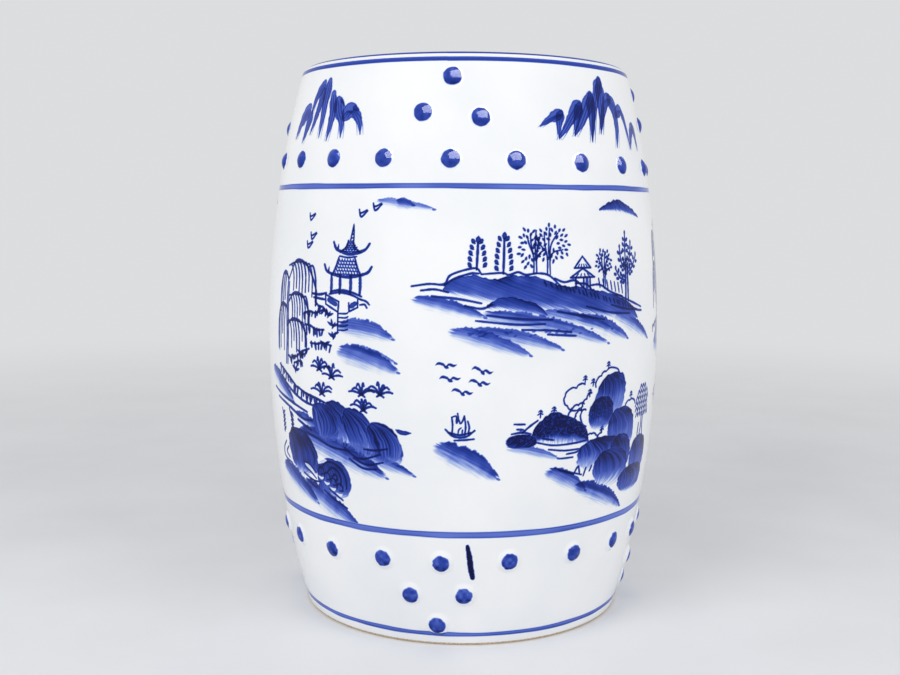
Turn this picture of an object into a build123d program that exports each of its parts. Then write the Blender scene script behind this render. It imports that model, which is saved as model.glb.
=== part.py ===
"""Garden stool: a hollow ceramic barrel of luted clay pieces, with two bands of raised studs."""
import os
from math import asin, degrees, radians, sin, sqrt

from build123d import *

# Outline of the barrel: two arcs that meet upright at the belly
stool_height = 460.0
belly_radius = 170.5
belly_height = 236.0
rim_radius = 141.0
foot_radius = 136.0

# Walls and edges
wall_thickness = 9.0
seat_thickness = 9.0
seat_edge_round = 4.5
foot_height = 7.0
foot_width = 15.0
foot_edge_round = 2.0

# Studs: low round domes, in rings and in triangles over or under each ring
upper_stud_radius = 7.2
lower_stud_radius = 9.0
upper_stud_rise = 3.0
lower_stud_rise = 3.5
upper_ring_drop = 82.7
upper_pair_drop = 49.3
upper_apex_drop = 19.9
lower_ring_height = 70.6
lower_pair_height = 43.3
lower_apex_height = 18.1
cluster_azimuths = {"front": -90.0, "right": 0.0, "back": 90.0, "left": 180.0}

# Setting by hand: each ring and triangle is turned a little, and leans down towards one side
upper_ring_turn = 2.5
lower_ring_turn = 0.7
upper_ring_lean = 2.2
lower_ring_lean = -1.6
upper_cluster_turn = 1.4
lower_cluster_turn = -2.2
pair_spread = 16.5
upper_pair_lean = 1.9
lower_pair_lean = -0.4

# How many degrees each stud sits aside from even spacing, from the front round to the right
upper_wander = (-1.1, -1.1, 1.2, 0.9, 0.9, 0.2, -0.8, -1.4, -0.3, 0.9)
upper_wander += (1.5, 0.4, -0.6, -1.2, 0.3, 1.6, 2.0, 0.6, -1.3, -2.1)
lower_wander = (-1.4, 0.1, 2.9, 2.4, -0.6, -1.8, -0.9, 0.6, 1.4, 0.3)
lower_wander += (-0.7, -1.6, 0.2, 1.1, 0.8, -0.5, 0.9, -1.2, -1.0, -0.8)

# Values that follow from the sizes above
seat_underside = stool_height - seat_thickness


def wall_bow(end_radius, end_height):
    """Radius of the arc that leaves the belly upright and ends at this rim or foot."""
    inset = belly_radius - end_radius
    rise = end_height - belly_height
    return (inset**2 + rise**2) / (2 * inset)


upper_bow = wall_bow(rim_radius, stool_height)
lower_bow = wall_bow(foot_radius, 0.0)


def barrel(inset):
    """The barrel as a full solid, with its whole side moved in by the inset."""
    with BuildPart() as body:
        with BuildSketch(Plane.XZ):
            with BuildLine():
                belly = (belly_radius - inset, belly_height)
                upper = TangentArc(belly, (rim_radius - inset, stool_height), tangent=(0, 1))
                lower = TangentArc(belly, (foot_radius - inset, 0), tangent=(0, -1))
                Polyline(upper @ 1, (0, stool_height), (0, 0), lower @ 1)
            make_face()
        revolve(axis=Axis.Z)
    return body.part


def stud_at(height, stud_radius, stud_rise):
    """One stud, square to the wall at this height on the +X side, with its back cut to the wall."""
    bow = upper_bow if height > belly_height else lower_bow
    climb = height - belly_height
    wall_radius = belly_radius - bow + sqrt(bow**2 - climb**2)
    lean = degrees(asin(climb / bow))
    dome_radius = (stud_radius**2 + stud_rise**2) / (2 * stud_rise)
    outward = Plane(origin=(wall_radius, 0, height), z_dir=Vector(1, 0, 0).rotate(Axis.Y, -lean))
    with BuildPart() as stud:
        with Locations(outward.offset(stud_rise - dome_radius)):
            Sphere(dome_radius)
        add(outer_barrel, mode=Mode.SUBTRACT)
    return stud.part


def ring_places(height, turn, lean, wander):
    """Azimuth and height of each stud of a ring."""
    places = []
    for count, aside in enumerate(wander):
        bearing = turn + count * 360.0 / len(wander) + aside
        places.append((cluster_azimuths["front"] + bearing, height - lean * sin(radians(bearing))))
    return places


def cluster_places(middle, pair_height, apex_height, lean):
    """Azimuth and height of the two studs of a pair and of the one at the triangle's point."""
    pair_reach = pair_spread / 2
    pair = [(middle - pair_reach, pair_height + lean), (middle + pair_reach, pair_height - lean)]
    return pair + [(middle, apex_height)]


def stud_group(places, stud_size):
    """Studs of one size at these azimuths and heights."""
    with BuildPart() as group:
        for azimuth, height in places:
            with PolarLocations(0, 1, start_angle=azimuth):
                add(stud_at(height, *stud_size))
    return group.part


def write_piece(piece, name):
    """Labels a finished piece and writes its file."""
    piece.label = name
    export_step(piece, f"parts/{name}.step")


os.makedirs("parts", exist_ok=True)
outer_barrel = barrel(0.0)
inner_barrel = barrel(wall_thickness)

# Barrel wall: the bulging tube between the foot ring and the seat
with BuildPart() as barrel_wall:
    add(outer_barrel)
    split(bisect_by=Plane.XY.offset(foot_height), keep=Keep.TOP)
    split(bisect_by=Plane.XY.offset(seat_underside), keep=Keep.BOTTOM)
    add(inner_barrel, mode=Mode.SUBTRACT)
write_piece(barrel_wall.part, "barrel_wall")

# Seat disc: the closed top, with its edge rounded over
with BuildPart() as seat_disc:
    add(outer_barrel)
    split(bisect_by=Plane.XY.offset(seat_underside), keep=Keep.TOP)
    fillet(seat_disc.faces().sort_by(Axis.Z)[-1].edges(), radius=seat_edge_round)
write_piece(seat_disc.part, "seat_disc")

# Foot ring: the ring that stands on the floor, open in the middle
with BuildPart() as foot_ring:
    add(outer_barrel)
    split(bisect_by=Plane.XY.offset(foot_height), keep=Keep.BOTTOM)
    fillet(foot_ring.faces().sort_by(Axis.Z)[0].edges(), radius=foot_edge_round)
    with BuildSketch():
        Circle(foot_radius - foot_width)
    extrude(amount=foot_height, mode=Mode.SUBTRACT)
write_piece(foot_ring.part, "foot_ring")

# Upper studs: one full ring and four triangles that point up, of which the ring gives the base row
upper_size = (upper_stud_radius, upper_stud_rise)
upper_ring_height = stool_height - upper_ring_drop
upper_places = ring_places(upper_ring_height, upper_ring_turn, upper_ring_lean, upper_wander)
write_piece(stud_group(upper_places, upper_size), "upper_stud_ring")
upper_rows = (stool_height - upper_pair_drop, stool_height - upper_apex_drop, upper_pair_lean)
for side, azimuth in cluster_azimuths.items():
    upper_trio = cluster_places(azimuth + upper_cluster_turn, *upper_rows)
    write_piece(stud_group(upper_trio, upper_size), f"upper_stud_cluster_{side}")

# Lower studs: the same below, with triangles that point down
lower_size = (lower_stud_radius, lower_stud_rise)
lower_places = ring_places(lower_ring_height, lower_ring_turn, lower_ring_lean, lower_wander)
write_piece(stud_group(lower_places, lower_size), "lower_stud_ring")
lower_rows = (lower_pair_height, lower_apex_height, lower_pair_lean)
for side, azimuth in cluster_azimuths.items():
    lower_trio = cluster_places(azimuth + lower_cluster_turn, *lower_rows)
    write_piece(stud_group(lower_trio, lower_size), f"lower_stud_cluster_{side}")
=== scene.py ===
"""Ceramic garden stool: a white glazed barrel with raised studs, painted in cobalt blue."""

import math

import bmesh
import bpy
import numpy as np
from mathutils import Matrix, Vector


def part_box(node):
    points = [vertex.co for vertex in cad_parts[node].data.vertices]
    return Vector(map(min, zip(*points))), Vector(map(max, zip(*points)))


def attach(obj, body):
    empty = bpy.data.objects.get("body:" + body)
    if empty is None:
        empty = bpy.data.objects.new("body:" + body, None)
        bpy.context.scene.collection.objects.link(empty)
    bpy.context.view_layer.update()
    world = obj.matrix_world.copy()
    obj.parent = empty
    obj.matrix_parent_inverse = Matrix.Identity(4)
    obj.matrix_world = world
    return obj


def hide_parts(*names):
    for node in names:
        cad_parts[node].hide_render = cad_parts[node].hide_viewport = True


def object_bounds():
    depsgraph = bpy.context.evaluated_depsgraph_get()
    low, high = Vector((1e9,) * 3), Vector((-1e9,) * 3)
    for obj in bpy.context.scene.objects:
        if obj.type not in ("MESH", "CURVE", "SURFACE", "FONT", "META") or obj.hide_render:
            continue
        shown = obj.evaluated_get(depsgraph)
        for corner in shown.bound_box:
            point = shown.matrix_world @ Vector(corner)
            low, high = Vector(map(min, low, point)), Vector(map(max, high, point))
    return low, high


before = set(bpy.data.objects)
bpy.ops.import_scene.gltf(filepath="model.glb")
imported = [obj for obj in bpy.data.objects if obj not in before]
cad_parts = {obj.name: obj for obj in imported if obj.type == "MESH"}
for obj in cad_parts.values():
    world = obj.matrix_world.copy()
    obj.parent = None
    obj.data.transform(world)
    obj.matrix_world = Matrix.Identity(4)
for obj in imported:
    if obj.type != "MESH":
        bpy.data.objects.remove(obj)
cad_low, cad_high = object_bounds()

# The barrel's outline as in the part, in millimetres: two arcs that meet upright at the belly
MM = 0.001
STOOL_HEIGHT = cad_high.z / MM
BELLY_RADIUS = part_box("barrel_wall")[1].x / MM
SEAT_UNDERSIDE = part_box("seat_disc")[0].z / MM
FOOT_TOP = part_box("foot_ring")[1].z / MM
BELLY_HEIGHT = 236.0
RIM_RADIUS = 141.0
FOOT_RADIUS = 136.0
WALL_THICKNESS = 9.0
FOOT_WIDTH = 15.0
SEAT_EDGE_ROUND = 4.5
FOOT_EDGE_ROUND = 2.0

# Where the two rounded edges meet the leaning wall, in degrees, and how far their centres shift for it
SEAT_EDGE_LEAN = 6.0
SEAT_EDGE_SHIFT = -0.6
FOOT_EDGE_LEAN = -4.0
FOOT_EDGE_SHIFT = 0.3

# Steps round the wall, and round the seat and the foot
WALL_STEPS = 480
RIM_STEPS = 720

# Studs: radius and rise of their domes, the soft skirt of glaze round them, how far its edge sinks,
# and a gap that is smaller than those between the studs of a node
STUD_SIZES = {"upper": (7.2, 3.0), "lower": (9.0, 3.5)}
STUD_SKIRT = 3.0
STUD_FILLET = 2.2
STUD_SINK = 0.12
STUD_GAP = 5.0
SIDES = ("front", "right", "back", "left")

# Painted lines round the barrel: their lower and upper edges
RING_LINES = {"shoulder_line": (354.9, 358.9), "base_line": (90.5, 95.4), "foot_line": (7.8, 11.3)}
SEAT_LINE = (452.1, 455.6)
SEAT_EDGE_LINE = 458.2

# The paint lies this far out from the wall, and cells with less ink than this are left bare
PAINT_LIFT = 0.06
LEAST_INK = 0.012

# Points closer than this are welded, in metres, and edges over this angle stay sharp
WELD_REACH = MM * 0.001
SHARP_ANGLE = math.radians(40)

# The painter's canvas: the wall unrolled, in millimetres along it and above the floor, with the steps
# of its grid, the softness of a stroke's edge, and where scenes, peaks and the tally stroke stand
PAINT_RADIUS = 165.0
GRAIN = 0.43
RING_GRAIN = 2.0
EDGE = 0.26
SCENE_TOP = 354.0
PEAKS_FOOT = 392.0
TALLY_BEARING = 7.6
TALLY_HEIGHT = 71.0

# How far a line spreads in the wet glaze against its brush, and how wide its pooled edge is
SPREAD = 1.18
POOL_DEPTH = 1.6


def step(low, high, value):
    """Rises smoothly from 0 at low to 1 at high."""
    t = np.clip((value - low) / (high - low), 0.0, 1.0)
    return t * t * (3.0 - 2.0 * t)


def ripple(value, pitch, seed):
    """Smooth noise from 0 to 1 along a line, with one random level every pitch."""
    levels = np.random.default_rng(seed).random(512)
    place = np.asarray(value) / pitch
    cell = np.floor(place).astype(int)
    low, high = levels[cell % len(levels)], levels[(cell + 1) % len(levels)]
    return low + (high - low) * step(0.0, 1.0, place - cell)


def speckle(x, y, pitch, seed):
    """Smooth noise from 0 to 1 over a surface, with one random level every pitch."""
    count = 128
    levels = np.random.default_rng(seed).random((count, count))
    u, v = np.broadcast_arrays(x / pitch, y / pitch)
    i, j = np.floor(u).astype(int), np.floor(v).astype(int)
    s, t = step(0.0, 1.0, u - i), step(0.0, 1.0, v - j)
    left, right, low, high = i % count, (i + 1) % count, j % count, (j + 1) % count
    near = levels[left, low] * (1 - s) + levels[right, low] * s
    far = levels[left, high] * (1 - s) + levels[right, high] * s
    return near * (1 - t) + far * t


def curve_through(points, steps=6):
    """Points along a smooth line through the given ones."""
    knots = np.array(points, float)
    knots = np.vstack([2 * knots[0] - knots[1], knots, 2 * knots[-1] - knots[-2]])
    t = np.linspace(0, 1, steps, endpoint=False)[:, None]
    spans = []
    for a, b, c, d in zip(knots, knots[1:], knots[2:], knots[3:]):
        bend = (2 * a - 5 * b + 4 * c - d) * t**2 + (3 * b - a - 3 * c + d) * t**3
        spans.append(0.5 * (2 * b + (c - a) * t + bend))
    return np.vstack(spans + [knots[-2:-1]])


class Canvas:
    """A stretch of the wall with an amount of cobalt, from 0 to 1, at each point of a fine grid."""

    def __init__(self, left, right, low, high, grain_along=GRAIN):
        start, end = math.radians(left) * PAINT_RADIUS, math.radians(right) * PAINT_RADIUS
        self.along = np.linspace(start, end, int((end - start) / grain_along) + 1)
        self.up = np.linspace(low, high, int((high - low) / GRAIN) + 1)
        self.ink = np.zeros((len(self.up), len(self.along)))

    def window(self, low, high):
        """The grid inside a box, as an index into the ink and the box's coordinates."""
        first, last = np.searchsorted(self.along, (low[0], high[0]))
        bottom, top = np.searchsorted(self.up, (low[1], high[1]))
        part = np.s_[bottom:top, first:last]
        return part, self.along[None, first:last], self.up[bottom:top, None]

    def lay(self, part, density):
        """Lays thin colour over what is there, so that it darkens where strokes cross."""
        self.ink[part] = 1.0 - (1.0 - self.ink[part]) * (1.0 - np.clip(density, 0.0, 1.0))

    def lift(self, part, share):
        """Takes up a share of the colour, as where a form stands before another."""
        self.ink[part] *= 1.0 - share


# How hard the brush is pressed along a stroke, from its start at 0 to its end at 1
PRESSURE = {
    "even": lambda s: 0.8 + 0.2 * np.sin(math.pi * s),
    "leaf": lambda s: np.sin(math.pi * np.clip(s, 0.03, 0.97)) ** 0.8,
    "peak": lambda s: np.clip(s, 0.03, 1.0) ** 0.7 * (1.0 - 0.5 * step(0.82, 1.0, s)),
    "tail": lambda s: (1.0 - s) ** 0.6 * step(-0.1, 0.15, s),
}


# How rocks are painted unless a scene says otherwise: the tone at the crown, the share of it that is
# left below, and the share of the height over which the foot softens
HILL = {"tone": 0.92, "thin": 0.6, "soft": 0.25}
BOULDER = {"tone": 0.98, "thin": 0.35, "soft": 0.2}


class Pen:
    """A brush held at one place on a canvas, drawing in millimetres from there."""

    def __init__(self, canvas, bearing, height, size=1.0, seed=1):
        self.canvas = canvas
        self.bearing = bearing
        self.origin = np.array([math.radians(bearing) * PAINT_RADIUS, height])
        self.size = size
        self.seed = seed
        self.chance = np.random.default_rng(seed)

    def at(self, bearing, height, size=1.0):
        """The same brush at another place, with fresh chance."""
        self.seed += 7
        return Pen(self.canvas, bearing, height, size, self.seed)

    def place(self, points):
        """Points drawn from the brush's place, as points of the canvas."""
        return self.origin + self.size * np.asarray(points, float)

    def line(self, points, width=1.4, ink=0.95, press="even", pool=0.15, wipe=False):
        """A brush line through points, darker where colour pools at its edges, or one wiped clean."""
        path = self.place(curve_through(points))
        half = 0.5 * SPREAD * width * PRESSURE[press](np.linspace(0, 1, len(path)))
        half = half * (1.0 + 0.25 * (self.chance.random(len(path)) - 0.5))
        reach = half.max() + 2 * EDGE
        part, x, y = self.canvas.window(path.min(0) - reach, path.max(0) + reach)
        gap = np.full(self.canvas.ink[part].shape, reach)
        for (ax, ay), (bx, by), wide, next_wide in zip(path, path[1:], half, half[1:]):
            run = (bx - ax) ** 2 + (by - ay) ** 2 + 1e-9
            t = np.clip(((x - ax) * (bx - ax) + (y - ay) * (by - ay)) / run, 0.0, 1.0)
            away = np.hypot(x - ax - t * (bx - ax), y - ay - t * (by - ay))
            gap = np.minimum(gap, away - wide - (next_wide - wide) * t)
        depth = np.clip(-gap / POOL_DEPTH, 0.0, 1.0)
        density = ink * (1.0 - pool * depth) * (1.0 - step(-EDGE, EDGE, gap))
        change = self.canvas.lift if wipe else self.canvas.lay
        change(part, density)

    def lines(self, *strokes, **look):
        """Several lines of one look."""
        for points in strokes:
            self.line(points, **look)

    def curls(self, points, count, width=1.3):
        """An outline of small arches that swell to the right of the way it is drawn, as for cliffs."""
        path = curve_through(points, steps=12)
        stray = self.chance.uniform(-0.3, 0.3, count + 1) / count
        spots = np.sort(np.linspace(0, 1, count + 1) + stray)
        places = np.clip(spots, 0, 1) * (len(path) - 1)
        x, y = (np.interp(places, np.arange(len(path)), values) for values in path.T)
        knots = np.stack([x, y], -1)
        for start, end in zip(knots, knots[1:]):
            run = end - start
            swell = 0.2 * np.array([run[1], -run[0]])
            self.line([start, start + 0.25 * run + swell, start + 0.75 * run + swell, end], width=width)

    def dab(self, point, length, width, turn, ink=0.95):
        """One press of a pointed brush: a leaf that lies at an angle in degrees."""
        lean = math.radians(turn)
        reach = 0.5 * length * np.array([math.cos(lean), math.sin(lean)])
        middle = np.asarray(point, float)
        self.line([middle - reach, middle, middle + reach], width=width, ink=ink, press="leaf")

    def wash(self, start, end, width, tone=0.78, bow=0.03, drag=0.5):
        """A flat brush dragged from start to end: crisp and dark on top, thin and streaky below."""
        self.seed += 3
        first, last = self.place(start), self.place(end)
        length = np.hypot(*(last - first))
        cx, cy = (last - first) / length
        corners = np.array([first, last])
        part, x, y = self.canvas.window(corners.min(0) - width, corners.max(0) + width)
        s = ((x - first[0]) * cx + (y - first[1]) * cy) / length
        across = (y - first[1]) * cx - (x - first[0]) * cy - 4 * bow * length * s * (1 - s)
        coarse, fine = ripple(across, 0.9, self.seed), ripple(across + 9 * s, 0.45, self.seed + 1)
        bristle = coarse * 0.6 + fine * 0.4
        ragged = s + 7.0 / length * (bristle - 0.5)
        body = np.sin(math.pi * np.clip(s, 0.0, 1.0) ** 0.75) ** 0.6
        t = across / np.maximum(0.5 * width * body, 0.2)
        t = t + 0.16 * (ripple(s * length, 4.0, self.seed + 2) - 0.5)
        edge = t + 0.22 * (ripple(s * length, 1.4, self.seed + 5) - 0.5)
        fade = step(-1.08, 0.3, t + drag * (bristle - 0.5)) * (1.0 - step(0.84, 1.0, edge))
        ends = step(0.0, 0.08, ragged) * (1.0 - step(0.93, 1.0, ragged))
        dark = 0.68 + 0.32 * step(-0.3, 0.75, t)
        streak = 0.8 + 0.42 * bristle + 0.2 * (speckle(x, y, 5.0, self.seed + 4) - 0.5)
        self.canvas.lay(part, np.minimum(0.9 * tone * fade * ends * dark * streak, 0.9))
        tip = np.asarray(end, float)
        self.dab(tip - [1.2 * cx, 1.2 * cy], 3.4, 1.5, math.degrees(math.atan2(cy, cx)), ink=0.6)

    def rock(self, part, x, y, depth, fall, lane_place, tone, thin, soft, moss=0.0, grain=0.5):
        """Lays a rock: dark or mossy at its crown, streaked down its sides, fringed at its foot."""
        lane_place = lane_place + 2.4 * speckle(x, y, 6.0, self.seed + 6)
        coarse, fine = ripple(lane_place, 1.25, self.seed + 1), ripple(lane_place, 0.6, self.seed + 2)
        lane = 0.5 * coarse + 0.5 * fine
        cloud = speckle(x, y, 8.0, self.seed + 3) - 0.5
        crown = 1.0 - step(0.08, 0.8, fall + 0.4 * cloud)
        fringe = 1.0 - step(1.0 - soft, 1.04, fall + 0.9 * soft * (lane - 0.5))
        rim = (1.0 - step(0.2, 1.5, depth)) * (1.0 - step(0.2, 0.7, fall))
        texture = 1.0 + grain * (lane - 0.5) + 0.3 * cloud
        body = tone * (thin + (1.0 - thin) * crown) * texture + 0.14 * rim
        curl = step(0.28, 0.42, speckle(x, y, 1.1, self.seed + 4))
        covered = moss * (1.0 - step(0.6, 0.85, fall + 0.3 * cloud))
        body = body + covered * (0.9 + 0.1 * curl - body)
        inside = step(-0.3, 0.3, depth) * fringe
        self.canvas.lift(part, 0.9 * inside)
        self.canvas.lay(part, inside * np.clip(body, 0.0, 0.99))

    def mound(self, crest, foot, sag=0.0, slant=0.0, **look):
        """A rock or hill brushed down from its crest to the heights of its foot at left and right."""
        self.seed += 5
        ridge = self.place(curve_through(crest))
        ridge[:, 0] = np.maximum.accumulate(ridge[:, 0])
        left, right = ridge[0, 0], ridge[-1, 0]
        base = self.origin[1] + self.size * np.array(foot, float)
        part, x, y = self.canvas.window((left, base.min() - sag - 1), (right, ridge[:, 1].max() + 1))
        top = np.interp(x, ridge[:, 0], ridge[:, 1]) + 1.3 * (ripple(x, 2.2, self.seed) - 0.5)
        share = (x - left) / (right - left)
        bottom = base[0] + (base[1] - base[0]) * share - sag * 4 * share * (1 - share)
        fall = (top - y) / np.maximum(top - bottom, 0.6)
        lane_place = x - left + slant * (y - base.min())
        self.rock(part, x, y, top - y, fall, lane_place, **(HILL | look))

    def egg(self, left, right, low, high, lean=0.0, **look):
        """A boulder that fills a box and may lean, with streaks that bow with its sides."""
        self.seed += 5
        (x0, y0), (x1, y1) = self.place([(left, low), (right, high)])
        wide, tall = 0.5 * (x1 - x0), 0.5 * (y1 - y0)
        pad = 1.0 + abs(lean) * tall
        part, x, y = self.canvas.window((x0 - pad, y0 - 1), (x1 + pad, y1 + 1))
        v = (y - y0) / tall - 1.0
        u = (x - 0.5 * (x0 + x1) - lean * tall * v) / wide
        ring = (np.abs(u) ** 2.3 + np.abs(v) ** 2.3) ** (1 / 2.3)
        ring = ring + 0.07 * (ripple(9.0 + 4.0 * np.arctan2(v, u), 0.6, self.seed) - 0.5)
        meridian = wide * (u + 1.0) / np.sqrt(np.maximum(1.06 - v * v, 0.12))
        depth, fall = (1.0 - ring) * min(wide, tall), 0.5 - 0.5 * v
        self.rock(part, x, y, depth, fall, meridian, **(BOULDER | look))

    def comb(self, start, end, teeth, length, width=1.2):
        """A broken line with an uneven row of short strokes under it, for banks and fences."""
        first, last = np.array(start, float), np.array(end, float)
        bends = []
        for share in (0, 0.3, 0.6, 1):
            bends.append(first + (last - first) * share + [0, self.chance.uniform(-1.4, 1.4)])
        self.line(bends, width=width)
        for tooth in range(teeth):
            root = first + (last - first) * (tooth + self.chance.uniform(0.1, 0.9)) / teeth
            tip = root + [self.chance.uniform(-1.8, 1.2), -length * self.chance.uniform(0.4, 1.2)]
            self.line([root, tip], width=width * self.chance.uniform(0.8, 1.25))


# Motifs, each drawn around its own foot


def roof(pen, middle, half, rise, top):
    """A hipped roof with tips that turn up, hatched with tiles, around the middle of its eave."""
    eave = np.array(middle, float)
    tips = [
        (-half - 5, 8), (-half - 2, 3), (-half * 0.6, 0.4), (0, -0.8), (half * 0.6, 0.4), (half + 2, 3),
        (half + 5.5, 7.5),
    ]
    pen.line(eave + tips, width=2.2)
    pen.line(eave + [(-half - 0.5, 2.5), (-half, 7)], width=1.8, press="tail")
    for side in (-1, 1):
        slope = [(side * half * 0.78, 1), (side * (top + half * 0.16), rise * 0.45), (side * top, rise)]
        pen.line(eave + slope, width=1.6)
    rows = 5
    for row in range(rows):
        low = 1.2 + (rise - 1.5) * row / rows
        wide = half * 0.72 + (top - half * 0.72) * ((row + 0.3) / rows) ** 0.7
        for x in np.arange(-wide + 1.0, wide - 0.6, 2.6):
            pen.line(eave + [(x, low + 1.6), (x + 0.5, low), (x + 2.0, low + 0.1)], width=1.05, ink=0.9)


def pagoda(pen):
    """A two-roofed pavilion on posts, with a rail and steps."""
    roof(pen, (3.6, 31), 11.5, 9.5, 2.2)
    pen.lines([(3.2, 40), (4.4, 46), (5.6, 53)], [(6.4, 40), (6.2, 46), (5.8, 52)], width=1.2)
    pen.lines([(3.4, 42), (6.2, 43)], [(4.2, 45), (6.2, 45.6)], [(4.8, 48), (6.0, 48.4)], width=0.9)
    roof(pen, (0.6, 13.5), 17, 14, 7.5)
    pen.line([(-6.4, 28.5), (1.6, 27.6), (9.6, 28.5)], width=1.3)
    for x in (-13.5, -5.0, 5.0, 13.5):
        pen.line([(x, 13.5), (x + 0.3, 6), (x, 0)], width=2.3, ink=0.92)
    pen.lines(
        [(-14, 1.0), (-5, 2.4), (5, 1.6), (15, -1.6)], [(-15, -1), (-5, 0.6), (5, -0.4), (15, -4)],
        width=1.6,
    )
    left_rail = [(-19, -1.5), (-18.5, -9), (-6, -14.5), (-5.5, -6.5), (-19, -1.5)]
    right_rail = [(4, -7), (4.5, -13.5), (12, -10), (12, -4)]
    for corners in (left_rail, right_rail):
        pen.lines(*zip(corners, corners[1:]), width=1.4)
    pen.lines([(-15.5, -5.5), (-12, -7), (-8.5, -8.5)], [(6, -9.5), (10, -7)], width=3.4, ink=0.90)
    pen.lines([(13, -3.5), (19, -5), (22, -7.5)], [(14, -8), (18, -7.5), (20, -10)], width=1.4)
    pen.line([(-6, -14), (-6, -29)], width=1.3)
    for rung in range(5):
        low = -15.5 - 3.2 * rung
        pen.line([(-6, low), (1.5 - 0.4 * rung, low + 0.2), (3.5, low + 1.2)], width=1.2)


def small_pagoda(pen):
    """A far pavilion of two little roofs."""
    for eave, half, rise in ((10.8, 6.2, 7.0), (5.0, 9.2, 5.4)):
        left, right, top = (-half, eave), (half, eave), (0, eave + rise)
        pen.lines([left, right], [left, top], [right, top], width=1.4)
        for x in np.linspace(-half * 0.6, half * 0.6, 4):
            pen.line([(x, eave + 0.2), (x * 0.6, eave + 2.2)], width=0.9)
    pen.lines([(-5.4, 5), (-5.4, -2)], [(5.4, 5), (5.4, -2)], [(0.5, 5), (0.5, -1)], width=1.5)
    pen.line([(3.0, 4.4), (3.0, -1)], width=2.8, ink=0.80)


def hanging_bough(pen, root, reach, rise, drop):
    """One bough of a willow: it arches out from the trunk and lets down a row of hooked strands."""
    start = np.array(root, float)
    arch = [
        (0, 0), (0.3 * reach, rise), (0.72 * reach, 0.72 * rise), (reach, -0.3 * drop),
        (1.02 * reach, -drop),
    ]
    pen.line(start + arch, width=1.8)
    count = int(abs(reach) / 5.0) + 2
    for strand in range(1, count):
        share = strand / count
        hook = start + [share * reach, rise * math.sin(math.pi * (0.25 + 0.5 * share)) - 1.4]
        fall = drop * pen.chance.uniform(0.5, 1.05) + 0.6 * rise
        bend = [(-0.13 * reach, -0.3), (0, 0), (0.1 * reach, -0.4 * fall), (0.11 * reach, -fall)]
        pen.line(hook + bend, width=pen.chance.uniform(1.3, 1.8))


def willow(pen):
    """An old willow: a thin bent trunk under boughs hung with long strands."""
    pen.lines(
        [(-1.4, 0), (0.2, 22), (-0.6, 44), (0.2, 70)], [(1.2, 0), (2.4, 22), (1.8, 44), (2.2, 66)],
        width=1.7,
    )
    boughs = (
        ((1, 68), 39, 16, 17), ((0, 69), -13, 5, 27), ((2, 50), 30, 8, 20), ((0, 44), -17, 4, 33),
        ((1, 31), 28, 6, 20),
    )
    for root, reach, rise, drop in boughs:
        hanging_bough(pen, root, reach, rise, drop)


def fern_tree(pen, height, pairs=5):
    """A straight stem with a row of leaves up each side."""
    pen.line([(0, 0), (0.6, height * 0.5), (1.0, height - 3)], width=1.7)
    pen.dab((1.1, height - 1), 5.5, 3.0, 84)
    for pair in range(pairs):
        up = height * (0.1 + 0.76 * pair / (pairs - 1))
        for side in (-1, 1):
            out = (5.6 - 2.6 * (pair / (pairs - 1)) ** 2) * side + 0.5
            pen.dab((out, up + 1.2), 3.8, 2.4, 90 - 32 * side)
            pen.line([(out - 1.4 * side, up - 0.6), (out + 0.9 * side, up)], width=0.9)


def up_tree(height, *strokes):
    """Strokes whose heights are given as shares of a tree's height."""
    return [[(x, share * height) for x, share in stroke] for stroke in strokes]


def leaf_tree(pen, height, spread, leaves, lowest=0.3, aside=0.0):
    """A branching tree with leaf dabs around the ends of its boughs."""
    boughs = up_tree(
        height, [(-1.1, 0), (-0.8, 0.3), (-2.6, 0.62), (-3.0, 0.86)],
        [(1.3, 0), (1.4, 0.3), (4.5, 0.45), (spread * 0.8, 0.5)],
        [(1.2, 0.3), (2.5, 0.6), (spread * 0.55, 0.84)], [(0.4, 0.34), (0.6, 0.66), (1.6, 0.94)],
        [(-1.8, 0.45), (-spread * 0.5, 0.66), (-spread * 0.6, 0.8)],
    )
    pen.lines(*boughs, width=1.15)
    for leaf in range(leaves):
        turn, out = 2.4 * leaf, math.sqrt((leaf + 4.0) / (leaves + 4.0))
        up = 0.5 * (1.02 + lowest + (1.02 - lowest) * out * math.sin(turn))
        spot = (aside + spread * out * math.cos(turn), height * up)
        length = pen.chance.uniform(2.8, 3.7)
        pen.dab(spot, length, 1.6, math.degrees(turn) + pen.chance.uniform(-25, 25))


def leafy_bough(pen, points, pairs):
    """A thin bough with pairs of leaves along it and one at its tip."""
    pen.line(points, width=1.5)
    path = curve_through(points)
    for pair in range(pairs):
        spot = int((pair + 0.8) / pairs * (len(path) - 2))
        along = path[spot + 1] - path[spot]
        turn = math.atan2(along[1], along[0])
        for side in (-1, 1):
            away = turn + side * math.radians(90)
            out = pen.chance.uniform(2.2, 3.0)
            leaf = path[spot] + [out * math.cos(away), out * math.sin(away)]
            pen.dab(leaf, pen.chance.uniform(3.0, 3.9), 2.2, math.degrees(turn) + 40 * side)
    pen.dab(path[-1] + [0, 1.2], 3.2, 1.8, 85)


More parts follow.
